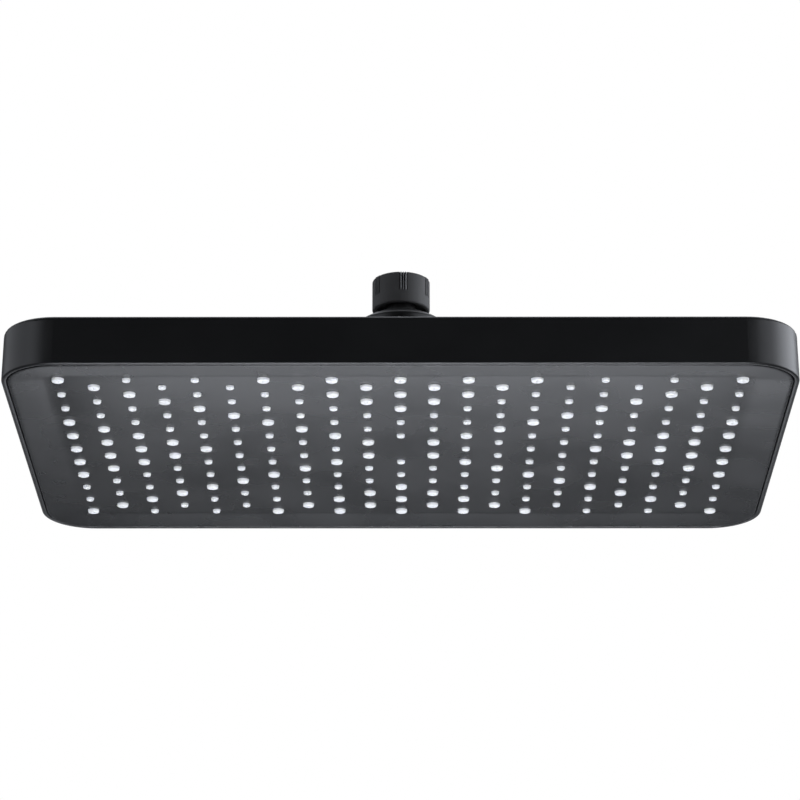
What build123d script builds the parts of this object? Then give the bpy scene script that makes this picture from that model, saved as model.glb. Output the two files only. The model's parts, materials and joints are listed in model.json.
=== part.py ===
from build123d import *
import math
import os

# Rectangular rain shower head that hangs from a shower arm on a ball joint.
# All sizes are in millimetres. The origin is the centre of the inlet thread, where its full bore starts.
# +Z points up out of the nut, +X runs along the head's long side and -Y is the head's front.

# Outline of the head
head_length = 300.0
head_width = 190.0
corner_radius = 21.0
body_depth = 19.5
wall_draft = 1.0
back_thickness = 2.2
back_edge_radius = 1.8
rim_width = 2.0
rim_edge_radius = 0.8

# Bell and boss in the middle of the back, and the ribs inside it
boss_height = 15.5
boss_radius = 19.0
boss_flange = 2.4
boss_straight = 3.0
bell_radius = 46.0
bell_sink = 0.4
rib_thickness = 1.6
rib_margin = 14.0

# Face plate, nozzle mat and water chamber, from the face up
face_gap = 0.4
face_recess = 0.1
face_edge_radius = 0.5
face_dish = 1.4
dish_border = 14.0
plate_thickness = 2.4
mat_thickness = 1.2
chamber_depth = 5.0
cover_thickness = 2.0
cover_wall = 3.0
lip_width = 1.6
lip_height = 4.0
mat_clearance = 0.2
cover_clearance = 0.3

# Nozzle field: a diamond lattice of two nozzle sizes with no nozzle in the middle.
# There are so many nozzles that each has few sides, and its orifice is left out.
nozzle_steps = 10
nozzle_margin_x = 21.25
nozzle_margin_y = 19.9
nozzle_reach = 1.0
large_tip_radius = 2.3
large_nozzle_sides = 8
small_tip_radius = 1.55
small_nozzle_sides = 6
nozzle_taper = 0.2
nozzle_clearance = 0.1

# Screws that hold the chamber together
screw_inset = 10.5
screw_end_margin = 45.0
screws_per_side = 4
screw_radius = 1.45
screw_clearance = 0.25
screw_head_radius = 2.8
screw_head_height = 1.9
screw_tip_cover = 1.6
pilot_clearance = 0.05
pilot_spare = 0.5
post_radius = 3.0
post_height = 5.0
post_clearance = 0.15
post_wall = 1.3
hub_height = 4.0
hub_radius = 3.6
web_count = 3
web_thickness = 1.6

# Inlet nut with its washer, filter and flow restrictor
nut_radius = 11.6
nut_height = 13.1
nut_edge_radius = 0.8
thread_radius = 9.3
thread_length = 6.2
mouth_chamfer = 0.7
washer_room = 2.2
washer_thickness = 2.0
washer_clearance = 0.2
undercut_depth = 0.6
nut_floor = 2.0
skirt_wall = 1.4
grip_count = 6
grip_width = 3.2
grip_depth = 0.7
grip_length = 8.0
grip_turn = 5.0
filter_radius = 5.7
filter_thickness = 0.7
filter_hole = 0.8
filter_pitch = 1.25
filter_border = 1.1
restrictor_radius = 4.8
restrictor_height = 2.8
restrictor_room = 3.0
restrictor_orifice = 1.6
restrictor_clearance = 0.1

# Ball joint
stem_radius = 6.0
bore_radius = 4.0
ball_radius = 10.0
ball_drop = 19.9
ball_height = 20.5
ball_clearance = 0.1
ring_section = 1.0
ring_groove_clearance = 0.05
ring_proud = 0.03
ring_latitude = -27.0
socket_radius = 12.0
socket_clearance = 0.05
socket_depth = 9.4
socket_rise = 1.5
seat_hole_radius = 5.0
seat_step = 0.5
upper_seat_height = 4.2
upper_seat_play = 0.1
seat_split = 1.5
gasket_radius = 9.5
gasket_width = 2.2
gasket_height = 1.5
gasket_clearance = 0.1

# Spigot that carries the ball, and the collar screwed on to it
spigot_thread_radius = 14.2
spigot_radius = 16.5
waterway_radius = 7.0
spigot_hole_clearance = 0.2
gusset_count = 8
gusset_thickness = 2.0
gusset_reach = 17.0
gusset_rise = 11.0
collar_radius = 18.5
collar_opening = 10.6
collar_clearance = 0.1
collar_rise = 17.35
collar_dome_radius = 30.0
collar_edge_radius = 1.5
flute_count = 24
flute_radius = 1.3
flute_depth = 0.5
flute_margin = 2.0
slip_washer_thickness = 0.8
slip_washer_margin = 1.0

# Levels, from the inlet down
z_nut_top = mouth_chamfer
z_thread_end = -thread_length
z_nut_floor = z_thread_end - washer_room
z_skirt = z_nut_floor - nut_floor
z_nut_bottom = z_nut_top - nut_height
z_ball = z_nut_bottom - ball_drop
z_back = z_ball - ball_height
z_rim = z_back - body_depth
z_roof = z_back - back_thickness
z_plate_edge = z_rim + face_recess
z_face = z_plate_edge + face_dish
z_plate_top = z_face + plate_thickness
z_mat_top = z_plate_top + mat_thickness
z_cover_bottom = z_mat_top + chamber_depth
z_cover_top = z_cover_bottom + cover_thickness
z_hub_top = z_cover_bottom + hub_height
z_boss_top = z_back + boss_height
z_shoulder = z_boss_top - boss_flange
z_collar_bottom = z_boss_top + slip_washer_thickness
z_socket_floor = z_ball - socket_depth
z_spigot_top = z_ball + socket_rise
z_collar_shoulder = z_spigot_top + upper_seat_height + upper_seat_play
z_screw_tip = z_face + screw_tip_cover

# Insets from the outline of the head
plate_inset = rim_width + face_gap
lip_inset = plate_inset + lip_width
mat_inset = lip_inset + mat_clearance
cover_inset = lip_inset + cover_clearance

# Fits that several pieces share
seat_sphere_radius = ball_radius + ball_clearance
undercut_radius = thread_radius + undercut_depth
screw_hole_radius = screw_radius + screw_clearance
pilot_radius = screw_radius + pilot_clearance
post_hole_radius = post_radius + post_clearance
spigot_hole_radius = spigot_thread_radius + spigot_hole_clearance
ring_distance = ball_radius + ring_proud - ring_section
ring_radius = ring_distance * math.cos(math.radians(ring_latitude))
z_ring = z_ball + ring_distance * math.sin(math.radians(ring_latitude))
groove_half_width = gasket_width / 2 + gasket_clearance


def head_plan(inset):
    """Length, width and corner radius of the head's outline moved in by inset."""
    return head_length - 2 * inset, head_width - 2 * inset, corner_radius - inset


def nozzle_points(large):
    """Centres of the large or the small nozzles.

    Columns and rows are half steps of a diamond lattice. The diagonals and the four side groups
    hold large nozzles, and the two bands beside each diagonal hold small ones.
    """
    pitch_x = (head_length / 2 - nozzle_margin_x) / nozzle_steps
    pitch_y = (head_width / 2 - nozzle_margin_y) / nozzle_steps
    points = []
    for column in range(-nozzle_steps, nozzle_steps + 1):
        for row in range(-nozzle_steps, nozzle_steps + 1):
            on_lattice = (column + row) % 2 == 0 and (column, row) != (0, 0)
            band = abs(abs(column) - abs(row)) // 2
            if on_lattice and large == (band == 0 or band >= 3):
                points.append((column * pitch_x, row * pitch_y))
    return points


def screw_points():
    """Centres of the screws along the two long sides and in the middle of the short sides."""
    side_y = head_width / 2 - screw_inset
    end_x = head_length / 2 - screw_inset
    first_x = head_length / 2 - screw_end_margin
    gap = 2 * first_x / (screws_per_side - 1)
    row = [-first_x + index * gap for index in range(screws_per_side)]
    return [(x, y) for x in row for y in (-side_y, side_y)] + [(-end_x, 0), (end_x, 0)]


def filter_points():
    """Centres of the square holes of the filter that lie inside its plain border."""
    reach = filter_radius - filter_border
    steps = int(reach / filter_pitch)
    grid = [index * filter_pitch for index in range(-steps, steps + 1)]
    return [(x, y) for x in grid for y in grid if math.hypot(x, y) <= reach]


nozzle_kinds = (
    (nozzle_points(True), large_tip_radius, large_nozzle_sides),
    (nozzle_points(False), small_tip_radius, small_nozzle_sides),
)
perimeter_screws = screw_points()
all_screws = perimeter_screws + [(0, 0)]

os.makedirs("parts", exist_ok=True)

# Ball connector: the nut, the stem and the ball in one piece
with BuildPart() as ball_connector:
    stem_end = z_ball + math.sqrt(ball_radius**2 - stem_radius**2)
    bore_end = z_ball - math.sqrt(ball_radius**2 - bore_radius**2)
    with BuildSketch(Plane.XZ):
        with BuildLine():
            Polyline(
                (bore_radius, bore_end),
                (bore_radius, z_nut_floor - restrictor_room),
                (restrictor_radius + restrictor_clearance, z_nut_floor - restrictor_room),
                (restrictor_radius + restrictor_clearance, z_nut_floor),
                (undercut_radius, z_nut_floor),
                (undercut_radius, z_thread_end),
                (thread_radius, z_thread_end),
                (thread_radius, 0),
                (thread_radius + mouth_chamfer, z_nut_top),
                (nut_radius, z_nut_top),
                (nut_radius, z_nut_bottom),
                (nut_radius - skirt_wall, z_nut_bottom),
                (nut_radius - skirt_wall, z_skirt),
                (stem_radius, z_skirt),
                (stem_radius, stem_end),
            )
            ThreePointArc((stem_radius, stem_end), (ball_radius, z_ball), (bore_radius, bore_end))
        make_face()
    revolve(axis=Axis.Z)
    rims = ball_connector.edges().filter_by(GeomType.CIRCLE).filter_by(lambda edge: edge.radius == nut_radius)
    fillet(rims, nut_edge_radius)
    with BuildSketch(Plane.XY.offset(z_nut_top)):
        with PolarLocations(nut_radius, grip_count, start_angle=grip_turn - 90):
            Rectangle(2 * grip_depth, grip_width)
    extrude(amount=-grip_length, mode=Mode.SUBTRACT)
    with BuildSketch(Plane.XZ):
        with Locations((ring_radius, z_ring)):
            Circle(ring_section + ring_groove_clearance)
    revolve(axis=Axis.Z, mode=Mode.SUBTRACT)

# Washer in the undercut at the end of the thread
with BuildPart() as inlet_washer:
    with BuildSketch(Plane.XY.offset(z_nut_floor)):
        Circle(undercut_radius - washer_clearance)
        Circle(filter_radius + washer_clearance, mode=Mode.SUBTRACT)
    extrude(amount=washer_thickness)

# Filter disc inside the washer
with BuildPart() as filter_screen:
    with BuildSketch(Plane.XY.offset(z_nut_floor)):
        Circle(filter_radius)
        with Locations(*filter_points()):
            Rectangle(filter_hole, filter_hole, mode=Mode.SUBTRACT)
    extrude(amount=filter_thickness)

# Flow restrictor in the top of the stem
with BuildPart() as flow_restrictor:
    with BuildSketch(Plane.XY.offset(z_nut_floor - restrictor_room)):
        Circle(restrictor_radius)
        Circle(restrictor_orifice, mode=Mode.SUBTRACT)
    extrude(amount=restrictor_height)

# Sealing ring in the groove of the ball
with BuildPart() as ball_o_ring:
    with BuildSketch(Plane.XZ):
        with Locations((ring_radius, z_ring)):
            Circle(ring_section)
    revolve(axis=Axis.Z)

# Lower seat: the cup under the ball
with BuildPart() as lower_seat:
    with BuildSketch(Plane.XY.offset(z_socket_floor)):
        Circle(socket_radius - socket_clearance)
        Circle(seat_hole_radius, mode=Mode.SUBTRACT)
    extrude(amount=socket_depth - seat_step)
    with Locations((0, 0, z_ball)):
        Sphere(seat_sphere_radius, mode=Mode.SUBTRACT)

# Upper seat: a split ring, sprung open to go round the stem, that keeps the ball in
with BuildPart() as upper_seat:
    with BuildSketch(Plane.XY.offset(z_spigot_top)):
        Circle(spigot_thread_radius)
    extrude(amount=upper_seat_height)
    with Locations((0, 0, z_ball)):
        Sphere(seat_sphere_radius, mode=Mode.SUBTRACT)
    with BuildSketch(Plane.XY.offset(z_spigot_top)):
        with Locations((0, spigot_thread_radius / 2)):
            Rectangle(seat_split, spigot_thread_radius + seat_split)
    extrude(amount=upper_seat_height, mode=Mode.SUBTRACT)

# Collar: the domed cap nut that holds the ball in its socket and clamps the shell
with BuildPart() as collar:
    z_collar_top = z_ball + collar_rise
    z_dome = z_collar_top - math.sqrt(collar_dome_radius**2 - collar_opening**2)
    z_dome_edge = z_dome + math.sqrt(collar_dome_radius**2 - collar_radius**2)
    collar_bore = spigot_thread_radius + collar_clearance
    with BuildSketch(Plane.XZ):
        with BuildLine():
            Polyline(
                (collar_radius, z_dome_edge),
                (collar_radius, z_collar_bottom),
                (collar_bore, z_collar_bottom),
                (collar_bore, z_collar_shoulder),
                (collar_opening, z_collar_shoulder),
                (collar_opening, z_collar_top),
            )
            RadiusArc((collar_opening, z_collar_top), (collar_radius, z_dome_edge), collar_dome_radius)
        make_face()
    revolve(axis=Axis.Z)
    skirt_rim = collar.edges().filter_by(GeomType.CIRCLE).filter_by(lambda edge: edge.radius == collar_radius)
    fillet(skirt_rim.sort_by(Axis.Z)[-1], collar_edge_radius)
    with BuildSketch(Plane.XY.offset(z_collar_bottom)):
        with PolarLocations(collar_radius + flute_radius - flute_depth, flute_count):
            Circle(flute_radius)
    extrude(amount=z_dome_edge - flute_margin - z_collar_bottom, mode=Mode.SUBTRACT)

# Slip washer between the collar and the shell
with BuildPart() as slip_washer:
    with BuildSketch(Plane.XY.offset(z_boss_top)):
        Circle(collar_radius - slip_washer_margin)
        Circle(spigot_hole_radius, mode=Mode.SUBTRACT)
    extrude(amount=slip_washer_thickness)

# Back shell: the moulded housing with its rim, its bell and its ribs
with BuildPart() as back_shell:
    z_bell = z_boss_top - boss_straight
    flare_width = bell_radius - boss_radius
    flare_height = z_bell - z_back + bell_sink
    with BuildSketch(Plane.XY.offset(z_rim)):
        RectangleRounded(*head_plan(0))
    extrude(amount=body_depth, taper=wall_draft)
    fillet(back_shell.faces().sort_by(Axis.Z)[-1].edges(), back_edge_radius)
    with BuildSketch(Plane.XZ):
        with BuildLine():
            Line((boss_radius, z_bell), (boss_radius, z_boss_top))
            Polyline(
                (boss_radius, z_boss_top),
                (0, z_boss_top),
                (0, z_bell - flare_height),
                (bell_radius, z_bell - flare_height),
            )
            EllipticalCenterArc((bell_radius, z_bell), flare_width, flare_height, start_angle=180, arc_size=90)
        make_face()
    revolve(axis=Axis.Z)
    with BuildSketch(Plane.XY.offset(z_rim)):
        RectangleRounded(*head_plan(rim_width))
    extrude(amount=body_depth - back_thickness, taper=wall_draft, mode=Mode.SUBTRACT)
    with BuildSketch(Plane.XZ):
        with BuildLine():
            inner_width = flare_width + back_thickness
            inner_height = flare_height + back_thickness
            Line((bell_radius - inner_width, z_bell), (bell_radius - inner_width, z_shoulder))
            Polyline(
                (bell_radius - inner_width, z_shoulder),
                (0, z_shoulder),
                (0, z_bell - inner_height),
                (bell_radius, z_bell - inner_height),
            )
            EllipticalCenterArc((bell_radius, z_bell), inner_width, inner_height, start_angle=180, arc_size=90)
        make_face()
    revolve(axis=Axis.Z, mode=Mode.SUBTRACT)
    with BuildSketch(Plane.XY.offset(z_boss_top)):
        Circle(spigot_hole_radius)
    extrude(amount=-boss_flange, mode=Mode.SUBTRACT)
    with BuildSketch(Plane.XY.offset(z_cover_top)):
        with Locations((0, bell_radius + rib_margin), (0, -bell_radius - rib_margin)):
            Rectangle(head_length - rim_width, rib_thickness)
        with Locations((bell_radius + 2 * rib_margin, 0), (-bell_radius - 2 * rib_margin, 0)):
            Rectangle(rib_thickness, head_width - rim_width)
    extrude(amount=z_roof - z_cover_top)
    fillet(back_shell.edges().group_by(Axis.Z)[0], rim_edge_radius)

# Chamber cover: the back of the water chamber, with the spigot and the ball socket
with BuildPart() as chamber_cover:
    with BuildSketch(Plane.XY.offset(z_cover_bottom)):
        RectangleRounded(*head_plan(cover_inset))
    extrude(amount=cover_thickness)
    with BuildSketch(Plane.XY.offset(z_mat_top)):
        RectangleRounded(*head_plan(cover_inset))
        RectangleRounded(*head_plan(cover_inset + cover_wall), mode=Mode.SUBTRACT)
        with Locations(*perimeter_screws):
            Circle(post_hole_radius + post_wall)
    extrude(amount=chamber_depth)
    with BuildSketch(Plane.XY.offset(z_cover_top)):
        Circle(spigot_radius)
    extrude(amount=z_shoulder - z_cover_top)
    with BuildSketch(Plane.XY.offset(z_shoulder)):
        Circle(spigot_thread_radius)
    extrude(amount=z_spigot_top - z_shoulder)
    gusset_angles = [index * 360 / gusset_count for index in range(gusset_count)]
    with BuildSketch(*[Plane.XZ.rotated((0, 0, angle)) for angle in gusset_angles]):
        with BuildLine():
            Polyline(
                (waterway_radius + web_thickness, z_cover_top),
                (spigot_radius + gusset_reach, z_cover_top),
                (spigot_radius, z_cover_top + gusset_rise),
                (waterway_radius + web_thickness, z_cover_top + gusset_rise),
                close=True,
            )
        make_face()
    extrude(amount=gusset_thickness / 2, both=True)
    with BuildSketch(Plane.XY.offset(z_spigot_top)):
        Circle(socket_radius)
    extrude(amount=z_socket_floor - z_spigot_top, mode=Mode.SUBTRACT)
    with BuildSketch(Plane.XY.offset(z_socket_floor)):
        Circle(waterway_radius)
    extrude(amount=z_cover_bottom - z_socket_floor, mode=Mode.SUBTRACT)
    with BuildSketch(Plane.XY.offset(z_socket_floor)):
        Circle(gasket_radius + groove_half_width)
        Circle(gasket_radius - groove_half_width, mode=Mode.SUBTRACT)
    extrude(amount=-gasket_height - gasket_clearance, mode=Mode.SUBTRACT)
    with BuildSketch(Plane.XY.offset(z_cover_bottom)):
        Circle(hub_radius)
        with PolarLocations((waterway_radius + web_thickness) / 2, web_count, start_angle=90):
            Rectangle(waterway_radius + web_thickness, web_thickness)
    extrude(amount=hub_height)
    with BuildSketch(Plane.XY.offset(z_mat_top)):
        with Locations(*perimeter_screws):
            Circle(post_hole_radius)
    extrude(amount=post_height - mat_thickness + post_clearance, mode=Mode.SUBTRACT)
    with BuildSketch(Plane.XY.offset(z_mat_top)):
        with Locations(*all_screws):
            Circle(screw_hole_radius)
    extrude(amount=z_hub_top - z_mat_top, mode=Mode.SUBTRACT)

# Gasket in the groove under the lower seat
with BuildPart() as seat_gasket:
    with BuildSketch(Plane.XY.offset(z_socket_floor - gasket_height - gasket_clearance)):
        Circle(gasket_radius + gasket_width / 2)
        Circle(gasket_radius - gasket_width / 2, mode=Mode.SUBTRACT)
    extrude(amount=gasket_height)

# Face plate: a shallow dish with a hole for each nozzle, a lip round the mat and a post for each screw
with BuildPart() as face_plate:
    with BuildSketch(Plane.XY.offset(z_plate_edge)):
        RectangleRounded(*head_plan(plate_inset))
    extrude(amount=z_plate_top - z_plate_edge)
    fillet(face_plate.faces().sort_by(Axis.Z)[0].edges(), face_edge_radius)
    with BuildSketch(Plane.XY.offset(z_plate_edge)):
        RectangleRounded(*head_plan(plate_inset + face_edge_radius))
    with BuildSketch(Plane.XY.offset(z_face)):
        RectangleRounded(*head_plan(plate_inset + dish_border))
    loft(mode=Mode.SUBTRACT)
    with BuildSketch(Plane.XY.offset(z_plate_top)):
        RectangleRounded(*head_plan(plate_inset))
        RectangleRounded(*head_plan(lip_inset), mode=Mode.SUBTRACT)
    extrude(amount=lip_height)
    with BuildSketch(Plane.XY.offset(z_plate_top)):
        with Locations(*perimeter_screws):
            Circle(post_radius)
    extrude(amount=post_height)
    with BuildSketch(Plane.XY.offset(z_plate_top)):
        Circle(post_radius)
    extrude(amount=z_cover_bottom - z_plate_top)
    with BuildSketch(Plane.XY.offset(z_screw_tip - pilot_spare)):
        with Locations(*all_screws):
            Circle(pilot_radius)
    extrude(amount=z_cover_bottom - z_screw_tip + pilot_spare, mode=Mode.SUBTRACT)
    with BuildSketch(Plane.XY.offset(z_face)):
        for centres, tip_radius, sides in nozzle_kinds:
            with Locations(*centres):
                RegularPolygon(tip_radius + nozzle_taper + nozzle_clearance, sides)
    extrude(amount=plate_thickness, mode=Mode.SUBTRACT)

# One nozzle of each size, tapered from its root in the mat to its tip
nozzle_shapes = []
for centres, tip_radius, sides in nozzle_kinds:
    with BuildPart() as nozzle:
        with BuildSketch(Plane.XY.offset(z_plate_top)):
            RegularPolygon(tip_radius + nozzle_taper, sides)
        with BuildSketch(Plane.XY.offset(z_face - nozzle_reach)):
            RegularPolygon(tip_radius, sides)
        loft()
    nozzle_shapes.append(nozzle.part)

# Nozzle mat: one silicone sheet with all its nozzles, which also seals the chamber
with BuildPart() as nozzle_mat:
    with BuildSketch(Plane.XY.offset(z_plate_top)):
        RectangleRounded(*head_plan(mat_inset))
        with Locations(*all_screws):
            Circle(post_hole_radius, mode=Mode.SUBTRACT)
    extrude(amount=mat_thickness)
    for nozzle_shape, (centres, tip_radius, sides) in zip(nozzle_shapes, nozzle_kinds):
        with Locations(*centres):
            add(nozzle_shape)

# Screws: a pan head and a shank, for the perimeter and for the centre post
with BuildPart() as cassette_screws:
    with BuildSketch(Plane.XY.offset(z_cover_top)):
        with Locations(*perimeter_screws):
            Circle(screw_head_radius)
    extrude(amount=screw_head_height)
    with BuildSketch(Plane.XY.offset(z_cover_top)):
        with Locations(*perimeter_screws):
            Circle(screw_radius)
    extrude(amount=z_screw_tip - z_cover_top)

with BuildPart() as centre_screw:
    with BuildSketch(Plane.XY.offset(z_hub_top)):
        Circle(screw_head_radius)
    extrude(amount=screw_head_height)
    with BuildSketch(Plane.XY.offset(z_hub_top)):
        Circle(screw_radius)
    extrude(amount=z_screw_tip - z_hub_top)

# Names and files
pieces = {
    "ball_connector": ball_connector,
    "inlet_washer": inlet_washer,
    "filter_screen": filter_screen,
    "flow_restrictor": flow_restrictor,
    "ball_o_ring": ball_o_ring,
    "lower_seat": lower_seat,
    "upper_seat": upper_seat,
    "collar": collar,
    "slip_washer": slip_washer,
    "back_shell": back_shell,
    "chamber_cover": chamber_cover,
    "seat_gasket": seat_gasket,
    "nozzle_mat": nozzle_mat,
    "face_plate": face_plate,
    "cassette_screws": cassette_screws,
    "centre_screw": centre_screw,
}
for piece_name, piece in pieces.items():
    piece.part.label = piece_name
    export_step(piece.part, f"parts/{piece_name}.step")
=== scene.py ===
"""Looks of a rectangular rain shower head: its inlet fitting, front panel, nozzles and finishes."""

import json
import math

import bmesh
import bpy
import numpy as np
from bpy.props import FloatProperty, FloatVectorProperty, IntProperty, PointerProperty
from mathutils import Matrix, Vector
from mathutils.geometry import delaunay_2d_cdt


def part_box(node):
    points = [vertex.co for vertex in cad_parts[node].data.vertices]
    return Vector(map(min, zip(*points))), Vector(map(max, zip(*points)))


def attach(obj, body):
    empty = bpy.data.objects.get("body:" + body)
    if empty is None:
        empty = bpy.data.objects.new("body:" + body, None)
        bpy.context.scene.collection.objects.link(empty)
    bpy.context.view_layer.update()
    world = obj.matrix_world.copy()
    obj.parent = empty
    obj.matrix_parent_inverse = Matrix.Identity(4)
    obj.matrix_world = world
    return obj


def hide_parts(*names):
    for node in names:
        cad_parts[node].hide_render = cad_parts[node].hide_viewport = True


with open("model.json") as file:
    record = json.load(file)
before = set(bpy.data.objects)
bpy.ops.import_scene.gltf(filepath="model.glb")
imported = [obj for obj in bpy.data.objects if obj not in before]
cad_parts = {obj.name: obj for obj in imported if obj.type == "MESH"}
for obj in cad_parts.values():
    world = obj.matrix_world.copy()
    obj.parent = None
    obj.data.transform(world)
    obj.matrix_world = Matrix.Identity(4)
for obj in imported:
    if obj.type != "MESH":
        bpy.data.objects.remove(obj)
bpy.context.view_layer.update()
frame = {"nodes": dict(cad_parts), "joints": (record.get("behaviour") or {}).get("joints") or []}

bl_info = {
    "name": "Rain shower head",
    "version": (1, 0, 0),
    "blender": (4, 5, 0),
    "location": "View3D > Sidebar > Shower",
    "description": "Dresses a rain shower head with its fitting, panel, nozzles and finishes",
    "category": "Object",
}

MM = 0.001

# Boxes of the CAD nodes that new pieces replace, and the height of the ball's centre
CAD_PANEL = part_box("face_plate")
CAD_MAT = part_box("nozzle_mat")
CAD_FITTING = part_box("ball_connector")
BALL_HEIGHT = frame["joints"][0]["pos_m"][2]

# Steps along the profiles and sides round the axes
CORNER_STEPS = 24
BORDER_STEPS = 10
EDGE_STEPS = 4
ROUNDING_STEPS = 2
NOZZLE_SIDES = 18
POST_SIDES = 20
NUT_RIM_STEPS = 6
PLAIN_STEPS = 10
LOWER_BALL_STEPS = 16
GROOVE_STEPS = 16
UPPER_BALL_STEPS = 24
THREAD_ROWS = 44

# Bands of small nozzles beside each diagonal, and the lip's height above the panel's back
SMALL_BANDS = 2
LIP_HEIGHT = 4.0 * MM

# Run of the fitting's steep walls, and in degrees its notches' turn and its groove's latitude
EDGE_WIDTH = 0.02 * MM
GRIP_TURN = 5.0
GROOVE_LATITUDE = -27.0

# Steepness of the thread's flanks, and how much of its wave the crests leave out
THREAD_SLOPE = 1.7
THREAD_CREST = 0.35

# Joining of surfaces into a mesh, in metres and degrees
FLAT_MERGE_DISTANCE = 1e-7
MERGE_DISTANCE = 1e-6
SHARP_ANGLE = 40.0

# Finishes: the attribute of wear and painted highlight and its gloss, the middle of a noise's range
# and an unstretched noise
WEAR_AND_HIGHLIGHT = "wear_and_highlight"
RUBBED_ROUGHNESS = 0.25
NOISE_LOW = 0.3
NOISE_HIGH = 0.7
EVEN = (1, 1, 1)

# Camera, with its turns in degrees and its lens and sensor in millimetres
CAMERA_PLACE = (4.54 * MM, -1240.29 * MM, -525.92 * MM)
CAMERA_PITCH = 20.981
CAMERA_ROLL = -0.05
CAMERA_YAW = 0.208
CAMERA_LENS = 149.82
SENSOR_WIDTH = 36.0

# Lamps and floor, in metres
LAMP_COLOUR = (0.95, 0.985, 1.06)
STUDIO_MIDDLE = (0, 0, -0.06)
FLOOR_DROP = 1.6
FLOOR_HALF = 20.0
FLOOR_GLOW = (0.95, 0.95, 0.95, 1)
FLOOR_ROUGHNESS = 0.9

# Surroundings: their bright side, the cosines to it where they start and end to brighten, two levels
WORLD_BRIGHT_SIDE = (0, 0.6, -0.8)
WORLD_DIM_FROM = -0.7
WORLD_BRIGHT_FROM = 0.9
WORLD_DIM = 0.03
WORLD_BRIGHT = 0.06


def length_size(label, about, size):
    """A length in metres, given in millimetres, with its label and description."""
    return FloatProperty(
        name=label, description=about, default=size * MM, subtype="DISTANCE", unit="LENGTH"
    )


def count_value(label, about, count):
    """A whole number with its label and description."""
    return IntProperty(name=label, description=about, default=count)


def colour_value(label, about, red, green, blue):
    """A linear colour with its label and description."""
    return FloatVectorProperty(
        name=label, description=about, default=(red, green, blue), subtype="COLOR", min=0, max=1
    )


class SHOWER_PG_panel(bpy.types.PropertyGroup):
    """Sizes of the front panel and of the nozzles that come through it."""

    corner_radius: length_size("Corner radius", "Radius of the panel's corners", 18.6)
    edge_radius: length_size("Edge radius", "Rounding of the panel's front edge", 0.2)
    dish: length_size("Dish", "How far the nozzle field lies above the panel's edge", 1.4)
    dish_border: length_size("Dish border", "From the panel's edge to the nozzle field", 14.0)
    thickness: length_size("Thickness", "Thickness of the panel in the nozzle field", 2.4)
    lip_width: length_size("Lip width", "Width of the lip behind the panel's edge", 1.6)
    nozzle_steps: count_value("Nozzle steps", "Half lattice steps from the middle outwards", 10)
    margin_x: length_size("Side margin", "From the panel's short side to the last nozzles", 18.85)
    margin_y: length_size("Front margin", "From the panel's long side to the last nozzles", 17.5)
    large_radius: length_size("Large nozzle", "Radius of a large nozzle at its tip", 2.3)
    small_radius: length_size("Small nozzle", "Radius of a small nozzle at its tip", 1.55)
    taper: length_size("Taper", "What a nozzle gains in radius from its tip to its root", 0.2)
    hole_clearance: length_size("Hole clearance", "Gap round a nozzle's root in its hole", 0.03)
    hole_bevel: length_size("Hole bevel", "Bevel round each hole's front edge", 0.06)
    tip_rounding: length_size("Tip rounding", "Rounding of a nozzle's tip", 0.45)
    dimple: length_size("Dimple", "Width and depth of the dimple round an orifice", 0.2)
    orifice_radius: length_size("Orifice", "Radius of the hole in a nozzle", 0.45)


class SHOWER_PG_screws(bpy.types.PropertyGroup):
    """Sizes of the screw posts behind the front panel."""

    inset: length_size("Inset", "From the panel's edge to the screws", 8.1)
    end_margin: length_size("End margin", "From the short side to the first screw of a row", 42.6)
    per_side: count_value("Screws per side", "Screws along each long side", 4)
    post_radius: length_size("Post radius", "Radius of a screw post", 3.0)
    post_height: length_size("Post height", "Height of a screw post above the panel", 5.0)
    centre_height: length_size("Centre post height", "Height of the post in the middle", 6.2)
    pilot_radius: length_size("Pilot radius", "Radius of a post's pilot hole", 1.5)
    pilot_floor: length_size("Pilot floor", "Thickness left under a pilot hole", 1.1)
    post_gap: length_size("Post gap", "Gap between a post and its hole in the mat", 0.15)


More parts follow.
